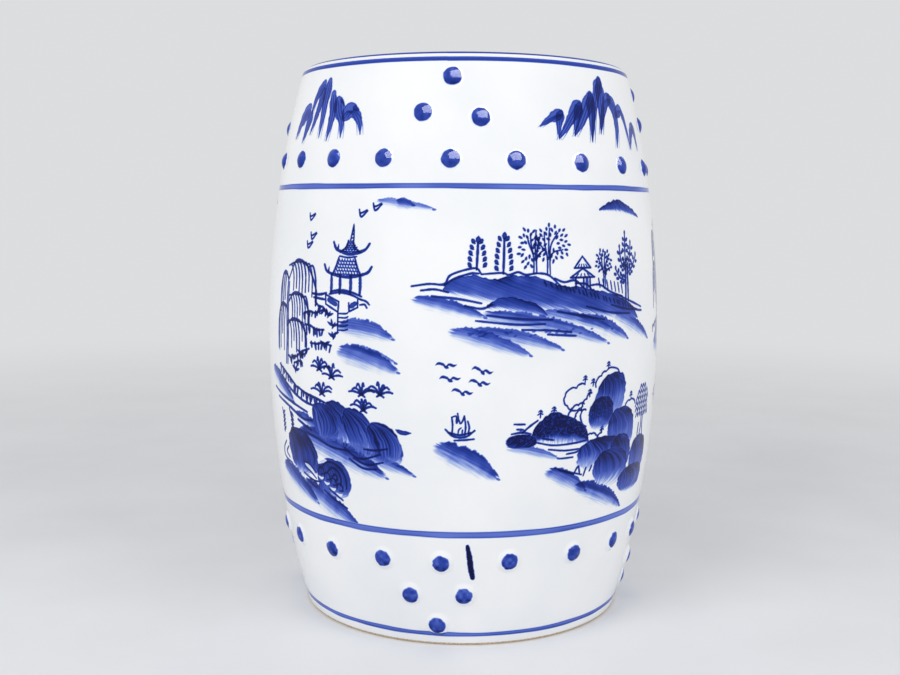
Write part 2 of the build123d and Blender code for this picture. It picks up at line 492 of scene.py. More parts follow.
def tall_tree(pen, height):
    """A slim tree with a double trunk that opens into leafy boughs."""
    trunk = up_tree(height, [(-1.8, 0), (-1.3, 0.3), (-1.0, 0.5)], [(1.8, 0), (1.6, 0.3), (1.2, 0.5)])
    pen.lines(*trunk, width=1.9)
    boughs = (
        ((-1.0, 0.48), (-0.6, 0.74), (0.4, 0.98), 5), ((1.3, 0.4), (9.0, 0.5), (15.5, 0.66), 4),
        ((1.1, 0.5), (6.0, 0.66), (8.0, 0.84), 4), ((-1.3, 0.3), (-9.0, 0.35), (-14.0, 0.47), 4),
        ((-1.1, 0.44), (-6.6, 0.58), (-8.0, 0.78), 4),
    )
    for *knots, pairs in boughs:
        leafy_bough(pen, *up_tree(height, knots), pairs)


def cypress(pen, height, half):
    """A scaly tree that narrows to its top."""
    rows = int(height / 4.2)
    for row in range(rows):
        low = height * row / rows
        wide = half * math.sin(math.pi * (0.3 + 0.7 * row / rows)) ** 0.8
        for x in np.arange(-wide, wide + 0.1, 4.4):
            pen.line([(x - 2.2, low), (x, low + 3.2), (x + 2.2, low)], width=1.4)
    pen.lines(
        [(-1.5, 0), (-1, -9), (-3, -18)], [(2, 0), (2, -8), (4, -17)], [(-6, -6), (-7, -16)],
        width=1.5,
    )


def sapling(pen):
    """A little upright tree on a ridge."""
    pen.lines(
        [(0, 0), (0.3, 5.5)], [(-2, 2.4), (0, 3.4), (2, 2.6)], [(-1.4, 4.6), (0.3, 5.6), (1.6, 4.4)],
        width=1.0,
    )


def tuft(pen):
    """A clump of grass: blades that rise from one root, spread and bend at their tips."""
    for turn in (8, 40, 72, 108, 140, 172):
        length = pen.chance.uniform(9.0, 12.0)
        lean = math.radians(turn + pen.chance.uniform(-9, 9))
        out, up = length * math.cos(lean), length * (0.16 + 0.7 * math.sin(lean))
        blade = [
            (0.05 * out, 0), (0.35 * out, 0.75 * up), (0.75 * out, 1.05 * up), (1.05 * out, 0.8 * up),
        ]
        pen.line(blade, width=1.55)
    pen.line([(-2.6, -1.2), (0, 0.2), (2.8, -1.4)], width=1.6)


def gull(pen, tilt):
    """A far bird: two bent wings and a short body."""
    pen.lines(
        [(-8.5, 0.4 - tilt), (-6.0, 2.0 - tilt), (-2.8, 1.2 - 0.4 * tilt), (0, -0.6)],
        [(0, -0.6), (2.8, 1.0 + 0.3 * tilt), (5.8, -0.2 + tilt), (8.6, 0.8 + tilt)],
        width=1.7, press="leaf",
    )
    pen.dab((0.2, -1.2), 4.2, 1.9, -25 + 20 * tilt)


def tick_bird(pen):
    """A bird drawn as a tick."""
    pen.lines(
        [(-2.0, 1.8), (-0.6, -1.8), (3.0, 1.2)], [(-1.8, 0.4), (-0.4, 0.2), (2.6, 1.6)],
        width=1.4,
    )


def boat(pen):
    """A small sailing boat with two masts."""
    pen.lines(
        [(-11, 3.2), (-6, -1.6), (0, -3.2), (6, -2.0), (11.5, 2.4)], [(-8, 0.6), (0, -1.2), (8.5, 0.8)],
        width=1.5,
    )
    pen.lines(
        [(-6, -1), (-5.4, 6), (-6, 13)], [(4, -1), (4.6, 6), (3.6, 14)],
        [(-6, 13), (-2.6, 13.8), (-2.4, 8.5), (-1, 12), (-1.6, 16)],
        [(3.6, 14), (2.2, 10), (0.6, 8.2), (-0.6, 11)], [(6.6, 0), (7.4, 5), (6.2, 10)],
        width=1.2,
    )
    pen.lines([(-1.2, 0), (-0.6, 3), (1.2, 4.6)], [(1.8, -0.6), (2.2, 3)], width=1.0)
    pen.line([(-4, -5.6), (3, -5.2), (11, -4.4)], width=1.4)


# Scenes, placed by bearing from the front in degrees and height above the floor


def shore(canvas, turn, seed):
    """Pavilion and willow on a grassy shore, with boulders in the water before it."""
    pen = Pen(canvas, turn, 0, seed=seed)
    sky = pen.at(turn - 10.6, 342)
    sky.wash((-24, 3), (24, -3), 8, tone=0.54, bow=0.02)
    sky.wash((-8, 2), (8, 0), 9, tone=0.74, bow=0.0)
    for bearing, height in ((-41.4, 333), (-40.2, 318), (-41.6, 311), (-22.8, 336), (-18.6, 341)):
        tick_bird(pen.at(turn + bearing, height, 1.5))
    pagoda(pen.at(turn - 27.2, 274.5))
    grove = pen.at(turn - 51.6, 214)
    willow(grove)
    grove.lines([(36, 59), (44, 58.5), (52, 60)], [(38, 56), (50, 55)], width=1.8)
    banks = (
        ((26, 43), (50, 46), 8, 4), ((28, 33), (50, 31), 8, 6), ((35, 21), (58, 20), 6, 6),
        ((8, 6), (33, 14), 9, 5), ((40, 52), (54, 46), 5, 4), ((12, 2), (24, 4), 5, 4),
    )
    for start, end, teeth, length in banks:
        grove.comb(start, end, teeth, length, width=1.7)
    for x, y in ((54, 44), (59, 36), (60, 28), (51, 20), (22, 10), (7, 5), (14, -3)):
        for blade in (20, 60, 105, 150):
            grove.dab((x + 0.04 * (90 - blade), y + grove.chance.uniform(-1, 2)), 6.5, 1.8, blade)
    tufts = ((-36, 214), (-31.5, 209), (-35.2, 195), (-21.8, 198), (-16.4, 199), (-21.4, 186))
    for bearing, height in tufts:
        tuft(pen.at(turn + bearing, height))
    flat = pen.at(turn - 20, 242.5)
    flat.wash((-27, 6), (22, -1), 17, bow=0.06)
    flat.wash((-16, -7), (24, -19), 7, tone=0.6)
    flat.wash((-28, -13), (26, -26), 19, tone=0.78, bow=0.05)
    near_rocks(pen.at(turn - 30, 150))


def near_rocks(pen):
    """Boulders in shallow water, with reflections washed below them."""
    pen.wash((-98, 57), (-52, 33), 15, tone=0.97)
    pen.wash((-52, 25), (-6, 9), 12)
    pen.wash((-48, 11), (44, -15.5), 25, tone=0.9)
    pen.wash((0, 6), (66, -12), 13, tone=0.86)
    pen.comb((-77, 63), (-46, 46), 9, 6, width=2.0)
    pen.comb((-46, 46), (-10, 37), 12, 8, width=1.9)
    pen.lines(
        [(-92, 41), (-76, 37), (-56, 33), (-34, 28)], [(-84, 34), (-62, 29), (-40, 22), (-28, 22)],
        [(-48, 20), (-30, 14)], [(-72, 52), (-58, 44), (-40, 37), (-24, 34)],
        width=2.0,
    )
    pen.egg(-9, 19, 3, 41, lean=-0.45, thin=0.66, tone=0.9, soft=0.4, grain=0.75)
    pen.egg(-27, 0, 8, 38, lean=-0.25, thin=0.8, tone=0.98, soft=0.2, grain=0.75)
    pen.egg(8, 36, -3, 37, lean=-0.42, thin=0.68, tone=0.94, soft=0.4, grain=0.75)
    pen.egg(28, 55, -5, 28, lean=-0.3, thin=0.74, tone=0.95, soft=0.25, grain=0.75)
    pen.lines(
        [(-43, 12), (-24, 9), (-8, 4), (10, 3)], [(6, 5), (20, -2), (38, 3)],
        [(14, -2), (26, -6), (40, -3)], [(10, -3), (22, -9), (34, -9)], [(24, 6), (34, 6), (44, 8)],
        width=1.5,
    )
    pen.wash((-86, -23), (-29, -46), 21, tone=0.92)
    pen.wash((-49, -31), (15, -58), 21, tone=0.95)
    pen.egg(-67, -25, -26, 13, lean=-0.2, tone=1.0, thin=0.8, soft=0.3)
    pen.egg(-27, 10, -38, -6, tone=0.86, thin=0.8, soft=0.25, moss=0.12)
    pen.lines(
        [(-21, -15), (-15, -9.5), (-7, -9), (1, -13), (5, -20), (5, -28)],
        [(-14, -17), (-9, -13), (-3, -15), (0, -21), (-1, -26)],
        [(-9, -20), (-6, -18), (-4, -21), (-6, -24)],
        width=1.7,
    )
    for loop in range(4):
        x, y = -22 + 6.5 * loop, -17 - 3.6 * loop
        gap = [(x - 4, y - 5), (x - 0.5, y - 6.6), (x + 3, y - 5.4)]
        pen.line(gap, width=2.0, press="leaf", wipe=True)
        curl = [(x - 3, y - 2), (x - 1, y + 2.4), (x + 3, y + 1.4), (x + 3.4, y - 2.4), (x, y - 3)]
        pen.line(curl, width=1.4)
    pen.lines(
        [(-43, -15), (-37, -17), (-30, -22)], [(-38, -23), (-32, -25), (-27, -30)],
        [(-24, -12), (-20, -9), (-14, -8)],
        width=3.4, press="leaf", wipe=True,
    )
    pen.lines(
        [(-45, -14), (-37, -14.6), (-28, -20)], [(-43, -18), (-36, -20.4), (-29, -25)],
        [(-37, -26), (-31, -28), (-26, -33)],
        width=1.3,
    )
    pen.lines(
        [(-74, -2), (-81, -9), (-80, -16), (-66, -19)], [(-70, -6), (-75, -11), (-70, -15)],
        [(-46, -23), (-34, -27), (-24, -27)], [(-42, -28), (-30, -33)],
        [(-20, -33), (-8, -39), (4, -44)], [(-14, -31), (0, -38)],
        width=1.5,
    )
    pen.lines([(-77, 25), (-74, 16), (-75, 6)], [(-62, 27), (-58, 17), (-57, 7)], width=1.8)
    for rung in range(5):
        pen.dab((-74, 22 - 3.4 * rung), 6.5, 2.2, 35)
        pen.dab((-58, 23 - 3.4 * rung), 6.5, 2.2, 145)
    pen.line([(51, 23.5), (56, 21.5), (63, 21.5)], width=3.0, press="leaf")


def island(canvas, turn, seed):
    """A long wooded island with a far pavilion, and its reflection in strokes."""
    pen = Pen(canvas, turn + 27, 280, seed=seed)
    pen.wash((-101, -8), (-46, -21), 12)
    pen.wash((-74, -31), (-12, -50), 14, tone=0.76)
    pen.wash((-58, -31), (14, -46.5), 13, tone=0.8)
    pen.wash((-52, -19), (58, -44), 15, tone=0.78)
    pen.wash((-8, -18), (62, -33), 11, tone=0.7)
    pen.wash((24, -22), (82, -42), 14, tone=0.84)
    pen.wash((62, -21), (118, -45), 13, tone=0.87)
    hills = [(-78, 0), (-72, 7), (-57, 11), (-42, 8), (-27, 10.5), (-8, 9.5)]
    hills += [(10, 3), (35, 0), (70, -8), (88, -16), (97, -26)]
    pen.mound(hills, (-2, -27), tone=0.83, thin=0.8, soft=0.3, sag=3, slant=2.6, grain=0.3)
    knoll = [(-46, -11), (-36, -6), (-22, -6.5), (-7, -12), (0, -19)]
    pen.mound(knoll, (-14, -20), tone=0.95, thin=0.7, soft=0.4, slant=2.6, grain=0.3)
    pen.lines(
        [(-101, 2), (-88, 4), (-77, 4), (-72, 11), (-55, 16), (-50, 11.5)],
        [(-77, 3), (-70, 8), (-58, 12), (-52, 12)],
        [(-50, 11.5), (-35, 12.5), (-30, 11), (-23, 13), (-17, 11), (-8, 12), (1, 10.5), (10, 3)],
        [(6, 8), (14, 5), (24, 6), (34, -2)], [(24, 4), (34, 3), (40, -2)],
        [(38, 2), (48, 2), (60, -4), (74, -8)], [(66, -6), (84, -12), (103, -18)],
        [(-94, -1), (-84, 0), (-74, -2)],
        width=1.5,
    )
    pen.lines(
        [(-86, -5), (-66, -7), (-50, -10)], [(-62, -12), (-50, -14), (-42, -11)],
        [(-46, -19), (-20, -22), (4, -23)], [(-54, -23), (-24, -26), (-2, -26)],
        [(-20, -30), (2, -31), (20, -33)], [(0, -34), (12, -35), (24, -36)],
        [(8, -17), (30, -21), (52, -25)], [(34, -14), (60, -20), (84, -22)],
        [(60, -14), (78, -18), (96, -20)], [(84, -16), (96, -20), (104, -21)],
        width=1.6, ink=0.9,
    )
    for spike in range(22):
        x = -2 + 4.0 * spike + pen.chance.uniform(-1, 1)
        ridge = 6 - 0.24 * (x + 2)
        pen.line([(x, ridge), (x + 1.6, ridge - 3.4)], width=1.3)
    for fleck in range(30):
        spot = (pen.chance.uniform(-64, 40), -30 - pen.chance.uniform(0, 5) - 0.02 * fleck)
        pen.dab(spot, 3.0, 1.2, 10, ink=0.5)
    fern_tree(pen.at(turn + 8.4, 295), 23)
    fern_tree(pen.at(turn + 15.2, 292), 29, pairs=6)
    leaf_tree(pen.at(turn + 23.6, 292), 34, 9.0, 30, lowest=0.1, aside=-4.5)
    leaf_tree(pen.at(turn + 27.4, 291), 37, 15.5, 42, lowest=0.24, aside=4.0)
    small_pagoda(pen.at(turn + 37.8, 282, 1.25))
    leaf_tree(pen.at(turn + 45.4, 281, 0.85), 33, 11, 28)
    tall_tree(pen.at(turn + 55.0, 268), 54)
    for stalk in range(7):
        x = 48 + 4.4 * stalk
        pen.line([(x, -0.9 * stalk), (x - 1.4, 7 - 0.8 * stalk)], width=1.2)
    peak = [(-30, 3), (-20, 7), (-8, 10), (8, 6), (20, 0), (28, -5)]
    far_peak = pen.at(turn + 55.2, 338)
    far_peak.mound(peak, (1, -5), tone=0.9, thin=0.8, soft=0.3, sag=-2, slant=1.0)


def cove(canvas, turn, seed):
    """A flock over a little boat, and stacked rocks beside it."""
    pen = Pen(canvas, turn, 0, seed=seed)
    flock = (
        (0.9, 223.5, 0.2), (10.0, 219.5, -1.2), (1.9, 213.5, 0.3), (9.3, 210.5, -0.6),
        (5.0, 203.5, -0.6),
    )
    for bearing, height, tilt in flock:
        gull(pen.at(turn + bearing, height, 0.9), tilt)
    boat(pen.at(turn + 4.4, 172.5, 0.95))
    pen.at(turn + 6.5, 150).wash((-25.5, 12.5), (24.5, -13.5), 20, tone=0.92)
    far_rocks(pen.at(turn + 40, 150))


def far_rocks(pen):
    """Rocks piled by the water, pale ones in outline and dark ones before them."""
    pale_rocks = (
        ([(-4, 56), (-14, 53), (-22, 48), (-19, 40), (-8, 38)], 4),
        ([(36, 57), (33, 62), (20, 65), (11, 60), (7, 53)], 4),
        ([(3, 49), (-3, 43), (-6, 36), (-1, 23)], 4), ([(60, 34), (52, 38), (44, 33)], 2),
        ([(-4, 41), (-14, 39), (-18, 32)], 4), ([(-2, 36), (-10, 35), (-12, 29)], 4),
        ([(20, 28), (18, 20), (12, 12), (8, 17), (0, 14)], 6),
    )
    for points, count in pale_rocks:
        pen.curls(points, count)
    for x, y in ((-4, 57), (20, 66), (52, 39), (-42, 33), (-31, 35), (1, 46), (4, 54), (16, 16)):
        sapling(pen.at(pen.bearing + math.degrees(x / PAINT_RADIUS), pen.origin[1] + y))
    pen.lines(
        [(-62, 29), (-54, 28.6)], [(-64, 21.5), (-56, 22.5), (-49, 21)], [(-60, 25), (-55, 24.5)],
        [(-56, 22), (-50, 27), (-44, 31)],
        width=1.5,
    )
    pen.wash((-68, 11), (-24, 0), 9, tone=0.62)
    mossy_crest = [(-49, 14), (-47, 24), (-40, 32), (-31, 37), (-22, 34), (-13, 31), (-1, 22), (3, 10)]
    pen.mound(mossy_crest, (14, 9), tone=0.9, moss=1.0)
    pen.egg(-68, -44, 10, 21, thin=0.9, soft=0.1, moss=1.0)
    pen.lines(
        [(-44, 14), (-30, 11), (-12, 11), (0, 12)], [(-34, 8), (-20, 6), (-6, 6)], [(-24, 0), (-12, 0)],
        [(-40, 17), (-30, 15)], [(-18, 3), (-8, 4), (-2, 8)],
        width=1.4,
    )
    pen.wash((-36, -9), (5, -29), 14, tone=0.84)
    pen.lines([(-28, -7), (-16, -11), (-2, -15)], [(-24, -9), (-10, -14)], width=1.3)
    pen.wash((-9, -24), (54, -50), 17, tone=0.95)
    pen.egg(7, 42, 24, 63, lean=0.24, thin=0.42, soft=0.3)
    pen.egg(1, 28, 19, 45, lean=0.1, thin=0.6, moss=0.75)
    pen.egg(23, 60, -1, 34, lean=-0.1, thin=0.56, soft=0.3)
    pen.egg(58, 92, -28, 6, thin=0.62)
    pen.egg(-8, 44, -14, 13, thin=0.42, soft=0.4)
    pen.egg(28, 58, -18, 12, lean=-0.1, thin=0.68)
    pen.egg(10, 55, -29, 2, lean=-0.08, thin=0.62, soft=0.4)
    pen.egg(44, 90, -39, -17, thin=0.7)
    pen.lines([(-10, -14), (-6, -8), (-4, -14)], [(0, -16), (2, -10)], [(6, -13), (8, -9)], width=1.5)
    cypress(pen.at(pen.bearing + 26.5, 172), 27, 13)


def side_bank(canvas, turn, seed):
    """A willow by itself on a hatched bank, on the side away from the other scenes."""
    pen = Pen(canvas, turn, 0, seed=seed)
    willow(pen.at(turn + 81, 248))
    bank = pen.at(turn + 83.5, 243)
    bank.comb((-30, 1), (-8, 7), 8, 6, width=1.5)
    bank.comb((6, 6), (31, -3), 9, 6, width=1.5)
    bank.mound([(-24, -11), (-16, -3), (-7, 4), (6, 5), (18, 0), (27, -8), (33, -15)], (-12, -16))
    bank.wash((-26, -14), (38, -34), 15)
    bank.wash((-10, -62), (44, -80), 14)
    for bearing, height in ((88.5, 190), (94.5, 199), (82.5, 182)):
        tuft(pen.at(turn + bearing, height))
    pen.at(turn + 97.5, 346).wash((-22, 5), (24, -2), 9, tone=0.78)


# Ranges of peaks between the stud triangles: each stroke is its points and its width
LEFT_RANGE = (
    ([(-46, 5), (-40, 17), (-28, 29)], 7.5), ([(-30, 1), (-26, 11), (-22, 24)], 5.5),
    ([(-22, 22), (-18, 36), (-9, 48)], 5.5), ([(-18, 7), (-14, 17), (-10, 29), (-7, 42)], 5.0),
    ([(-3, 4), (-2, 21), (-2, 37), (-1, 49)], 6.5), ([(8, 1), (10, 12), (11, 25), (8, 38)], 6.2),
    ([(25, 3), (24, 15), (19, 24), (16, 33)], 6.8),
    ([(27, 19), (32, 24), (39, 21), (44, 14), (46, 5)], 6.8), ([(19, 33), (23, 30), (26, 26)], 1.6),
    ([(36, 26), (42, 23)], 2.4),
)
RIGHT_RANGE = (
    ([(-58, 11), (-48, 17), (-37, 22)], 5.0), ([(-37, 22), (-40, 13), (-41, 2)], 4.4),
    ([(-41, 2), (-33, 11), (-23, 23), (-16, 30)], 6.4), ([(-16, 29), (-21, 18), (-25, 5)], 5.2),
    ([(-25, 5), (-17, 15), (-9, 26), (-1, 38)], 7.0), ([(-1, 37), (-3, 21), (-6, 1)], 6.8),
    ([(-6, 2), (1, 25), (9, 42), (15, 50)], 6.4), ([(15, 51), (12, 34), (10, 21), (6, 8)], 6.8),
    ([(6, 8), (11, 21), (20, 34), (26, 38)], 5.4), ([(26, 38), (31, 28), (31, 14), (27, -2)], 6.4),
    ([(34, 24), (42, 29), (48, 19), (52, -2)], 5.0), ([(52, -2), (58, 10), (66, 18)], 5.0),
    ([(66, 18), (69, 10), (71, -2)], 5.0),
)


def mountains(canvas, bearing, seed, strokes):
    """A zigzag range of brush strokes, each streaky and drawn to a point at its foot."""
    pen = Pen(canvas, bearing, PEAKS_FOOT, seed=seed)
    for points, width in strokes:
        rising = points if points[0][1] < points[-1][1] else points[::-1]
        pen.line(rising, width=1.75 * width, ink=0.78, press="peak", pool=0.2)
        for aside in (-0.42, 0.02, 0.46):
            bristle = [(x + aside * width, y - 1.0) for x, y in rising]
            pen.line(bristle, width=0.26 * width, ink=0.6, press="peak")


def ring_line(canvas, low, high, seed):
    """A line drawn with a full brush while the stool turned: streaky, and darker at its edges."""
    along, up = canvas.along[None, :], canvas.up[:, None]
    bottom = low + 0.7 * (ripple(along, 23.0, seed) - 0.5)
    top = high + 0.7 * (ripple(along, 31.0, seed + 1) - 0.5)
    inside = step(-EDGE, EDGE, up - bottom) * step(-EDGE, EDGE, top - up)
    drift = 0.5 * ripple(along, 40.0, seed + 2)
    streak = ripple(up + drift, 0.7, seed + 3) * ripple(along, 26.0, seed + 4)
    edge = 1.0 - step(0.2, 1.3, np.minimum(up - bottom, top - up))
    canvas.lay(np.s_[:, :], inside * (0.45 + 0.24 * edge + 0.22 * streak))


def tally_stroke(canvas, seed):
    """One dark upright stroke on the base."""
    pen = Pen(canvas, TALLY_BEARING, TALLY_HEIGHT, seed=seed)
    pen.line([(-2.4, 13), (-0.8, 4), (0.4, -5), (2.4, -13)], width=3.2, ink=1.0, pool=0.0)
    pen.line([(-1.2, 8), (-0.2, 1), (0.6, -5), (2.2, -12.4)], width=4.0, ink=1.0, pool=0.0)


# Meshes


def wall_bow(height):
    """Radius of the arc that the barrel's side follows at a height."""
    upper = height > BELLY_HEIGHT
    inset = BELLY_RADIUS - np.where(upper, RIM_RADIUS, FOOT_RADIUS)
    rise = np.where(upper, STOOL_HEIGHT - BELLY_HEIGHT, BELLY_HEIGHT)
    return (inset**2 + rise**2) / (2 * inset)


def wall_radius(height):
    """Radius of the barrel's side at a height."""
    bow = wall_bow(height)
    return BELLY_RADIUS - bow + np.sqrt(bow**2 - (height - BELLY_HEIGHT) ** 2)


def on_wall(bearing, height, lift=0.0):
    """Points in metres on the barrel's side, or this far out from it."""
    lean = np.arcsin((height - BELLY_HEIGHT) / wall_bow(height))
    out = wall_radius(height) + lift * np.cos(lean)
    up = height + lift * np.sin(lean)
    return MM * np.stack([out * np.sin(bearing), -out * np.cos(bearing), up], -1)


def grid_faces(rows, columns, wrap=False):
    """Four-sided faces over a grid of points, row after row, joined end to end where it wraps."""
    row = np.arange(rows - 1)[:, None]
    column = np.arange(columns if wrap else columns - 1)[None, :]
    following = (column + 1) % columns
    below, above = row * columns, (row + 1) * columns
    corners = [below + column, below + following, above + following, above + column]
    return np.stack(corners, -1).reshape(-1, 4)


def add_piece(name, points, faces, material, ink=None):
    """A smooth mesh that rides on the stool, with its cobalt at each point."""
    mesh = bpy.data.meshes.new(name)
    mesh.from_pydata(points.tolist(), [], faces.tolist())
    mesh.shade_smooth()
    mesh.materials.append(material)
    if ink is not None:
        layer = mesh.attributes.new("ink", "FLOAT", "POINT")
        layer.data.foreach_set("value", np.asarray(ink, np.float32).ravel())
    piece = bpy.data.objects.new(name, mesh)
    bpy.context.scene.collection.objects.link(piece)
    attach(piece, "root")
    return piece


def weld_seams(piece):
    """Joins points of a piece that lie in one place."""
    weld = bmesh.new()
    weld.from_mesh(piece.data)
    bmesh.ops.remove_doubles(weld, verts=weld.verts, dist=WELD_REACH)
    weld.to_mesh(piece.data)
    weld.free()


def revolve(name, outline, material, steps=WALL_STEPS, ink=None):
    """A closed outline of radius and height turned about the stool's axis."""
    radius, height = np.array(outline).T[:, :, None]
    turn = np.arange(steps)[None, :] * 2 * math.pi / steps
    points = MM * np.stack([radius * np.sin(turn), -radius * np.cos(turn), height + 0 * turn], -1)
    faces = grid_faces(len(radius), steps, wrap=True)
    cobalt = None if ink is None else ink(radius, height, turn)
    piece = add_piece(name, points.reshape(-1, 3), faces, material, cobalt)
    weld_seams(piece)
    piece.data.set_sharp_from_angle(angle=SHARP_ANGLE)
    return piece


def arc(middle, radius, start, end, count):
    """Points along an arc between two angles in degrees."""
    turn = np.radians(np.linspace(start, end, count))
    return [(middle[0] + radius * math.cos(t), middle[1] + radius * math.sin(t)) for t in turn]


def side_of_barrel(low, high, count, inset=0.0):
    """Radius and height of points along the barrel's side, or along its inside."""
    heights = np.linspace(low, high, count)
    return list(zip(wall_radius(heights) - inset, heights))


def add_wall(glaze, bisque):
    """The barrel's wall, glazed outside and bare inside."""
    outside = side_of_barrel(FOOT_TOP, SEAT_UNDERSIDE, 110)
    inside = side_of_barrel(SEAT_UNDERSIDE, FOOT_TOP, 60, WALL_THICKNESS)
    piece = revolve("glazed_wall", outside + inside + outside[:1], glaze)
    piece.data.materials.append(bisque)
    for face in piece.data.polygons:
        outer = wall_radius(np.array(face.center.z / MM)) - 0.1 * WALL_THICKNESS
        face.material_index = int(math.hypot(*face.center.xy) / MM < outer)
    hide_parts("barrel_wall")


def seat_ink(radius, height, turn):
    """The line round the seat's edge, and the thin one on top of the edge."""
    swing = 0.6 * (ripple(turn * RIM_RADIUS, 27.0, 71) - 0.5)
    low, high = SEAT_LINE
    line = step(-EDGE, EDGE, height - low - swing) * step(-EDGE, EDGE, high + swing - height)
    streak = ripple(height + 0.4 * ripple(turn * RIM_RADIUS, 40.0, 72), 0.6, 73)
    outer = step(-0.5, 0.0, radius - RIM_RADIUS + SEAT_EDGE_ROUND + 2.0 + swing)
    edge = outer * step(-0.1, 0.1, height - SEAT_EDGE_LINE - 0.3 * swing)
    return line * (0.58 + 0.26 * streak) + edge * (0.7 + 0.2 * streak)


def add_seat(glaze):
    """The closed top with its rounded edge."""
    edge_height = STOOL_HEIGHT - SEAT_EDGE_ROUND
    edge_radius = wall_radius(np.array(STOOL_HEIGHT)) - SEAT_EDGE_ROUND + SEAT_EDGE_SHIFT
    outside = side_of_barrel(SEAT_UNDERSIDE, edge_height, 16)
    edge = arc((edge_radius, edge_height), SEAT_EDGE_ROUND, SEAT_EDGE_LEAN, 90, 26)
    top = [(radius, STOOL_HEIGHT) for radius in np.linspace(edge_radius, 0.0, 24)[1:]]
    below = [(radius, SEAT_UNDERSIDE) for radius in np.linspace(0.0, outside[0][0], 8)]
    outline = outside + edge + top + below
    piece = revolve("seat_top", outline, glaze, steps=RIM_STEPS, ink=seat_ink)
    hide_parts("seat_disc")


def add_foot(glaze, bisque):
    """The ring that the stool stands on, glazed outside and bare below and within."""
    inner = FOOT_RADIUS - FOOT_WIDTH
    outside = side_of_barrel(FOOT_EDGE_ROUND, FOOT_TOP, 14)
    edge_radius = FOOT_RADIUS - FOOT_EDGE_ROUND + FOOT_EDGE_SHIFT
    under = arc((edge_radius, FOOT_EDGE_ROUND), FOOT_EDGE_ROUND, -90, FOOT_EDGE_LEAN, 10)
    outline = [(inner, 0.0)] + under + outside + [(inner, FOOT_TOP), (inner, 0.0)]
    piece = revolve("foot_rim", outline, glaze, steps=RIM_STEPS)
    piece.data.materials.append(bisque)
    for face in piece.data.polygons:
        below = face.center.z / MM < FOOT_EDGE_ROUND
        within = math.hypot(*face.center.xy) / MM < inner + 0.5 * FOOT_EDGE_ROUND
        face.material_index = int(below or within)
    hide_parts("foot_ring")


def stud_centres(node):
    """Bearing in degrees and height in millimetres of each stud of a CAD node."""
    loose = np.array([vertex.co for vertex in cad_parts[node].data.vertices]) / MM
    centres = []
    while len(loose):
        stud = np.arange(len(loose)) == 0
        size = 0
        while stud.sum() > size:
            size = stud.sum()
            low, high = loose[stud].min(0), loose[stud].max(0)
            stud = ((loose > low - STUD_GAP) & (loose < high + STUD_GAP)).all(1)
        x, y, height = (low + high) / 2
        centres.append((math.degrees(math.atan2(x, -y)), height))
        loose = loose[~stud]
    return centres


def stud_patch(bearing, height, size, seed, spot):
    """Points, cobalt and faces of one stud: a dome that runs out into the wall in a soft fillet."""
    rings, spokes = 26, 48
    radius, crown = size
    out = np.linspace(0.0, radius + STUD_SKIRT, rings)[:, None]
    turn = np.arange(spokes)[None, :] * 2 * math.pi / spokes
    dome_radius = (radius**2 + crown**2) / (2 * crown)
    dome = np.sqrt(np.maximum(dome_radius**2 - out**2, 0.0)) - dome_radius + crown
    flare = np.sqrt((dome + STUD_SINK) ** 2 + STUD_FILLET * 0.5)
    rise = 0.5 * (dome - STUD_SINK + flare) - 0.5 * STUD_SINK
    rise = rise - (rise[-1] + STUD_SINK) * step(radius * 0.6, radius + STUD_SKIRT, out)
    right, up = out * np.cos(turn), out * np.sin(turn)
    round_wall = math.radians(bearing) + right / wall_radius(np.array(height))
    points = on_wall(round_wall, height + up, rise + 0 * turn)
    ink = np.maximum(spot(right, up, radius, seed), line_over(height + up))
    return points.reshape(-1, 3), ink.ravel(), grid_faces(rings, spokes, wrap=True)


def line_over(height):
    """Cobalt where the foot line runs on over the rim of a stud."""
    low, high = RING_LINES["foot_line"]
    return 0.68 * step(-EDGE, EDGE, height - low) * step(-EDGE, EDGE, high - height)


def full_spot(right, up, radius, seed):
    """Cobalt over a whole stud, thinner where the brush lifted, and darker over its lower half as
    painted shade.
    """
    edge = np.hypot(right, up) + 0.7 * (speckle(right, up, 2.5, seed) - 0.5)
    cover = 1.0 - step(radius - 0.5, radius + 0.2, edge)
    # The last term is painted shade: more cobalt on the lower half of the dome, where it turns down
    # from the light
    return cover * (0.62 + 0.2 * speckle(right, up, 3.0, seed + 1) + 0.14 * step(0.0, radius, -up))


def small_spot(right, up, radius, seed):
    """A round spot of cobalt on the top of a stud, off its middle, with a ragged edge and painted shade
    toward its lower side.
    """
    aside, above = 1.6 * (np.random.default_rng(seed).random(2) - 0.5)
    edge = np.hypot(right - aside, up - above) + 0.9 * (speckle(right, up, 2.0, seed + 1) - 0.5)
    cover = 1.0 - step(0.66 * radius, 0.76 * radius, edge)
    # The last term is painted shade: more cobalt toward the lower side of the spot, where the dome
    # turns down from the light
    return cover * (0.56 + 0.3 * speckle(right, up, 2.6, seed + 2) + 0.16 * step(-1.0, 5.0, -up))


def add_studs(name, node, size, material, slot, spot):
    """All studs of one CAD node as one piece."""
    points, inks, faces = [], [], []
    for index, (bearing, height) in enumerate(stud_centres(node)):
        patch, ink, quads = stud_patch(bearing, height, size, 11 * index + len(node), spot)
        faces.append(quads + sum(map(len, points)))
        points.append(patch)
        inks.append(ink)
    piece = add_piece(name, np.vstack(points), np.vstack(faces), material, np.hstack(inks))
    weld_seams(piece)
    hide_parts(node)
    return piece


def add_stud_band(band, material, slot, spot):
    """The ring and the four triangles of a band of studs."""
    look = (STUD_SIZES[band], material, slot, spot)
    pieces = [add_studs(f"{band}_ring_domes", f"{band}_stud_ring", *look)]
    for side in SIDES:
        pieces.append(add_studs(f"{band}_{side}_domes", f"{band}_stud_cluster_{side}", *look))
    return pieces


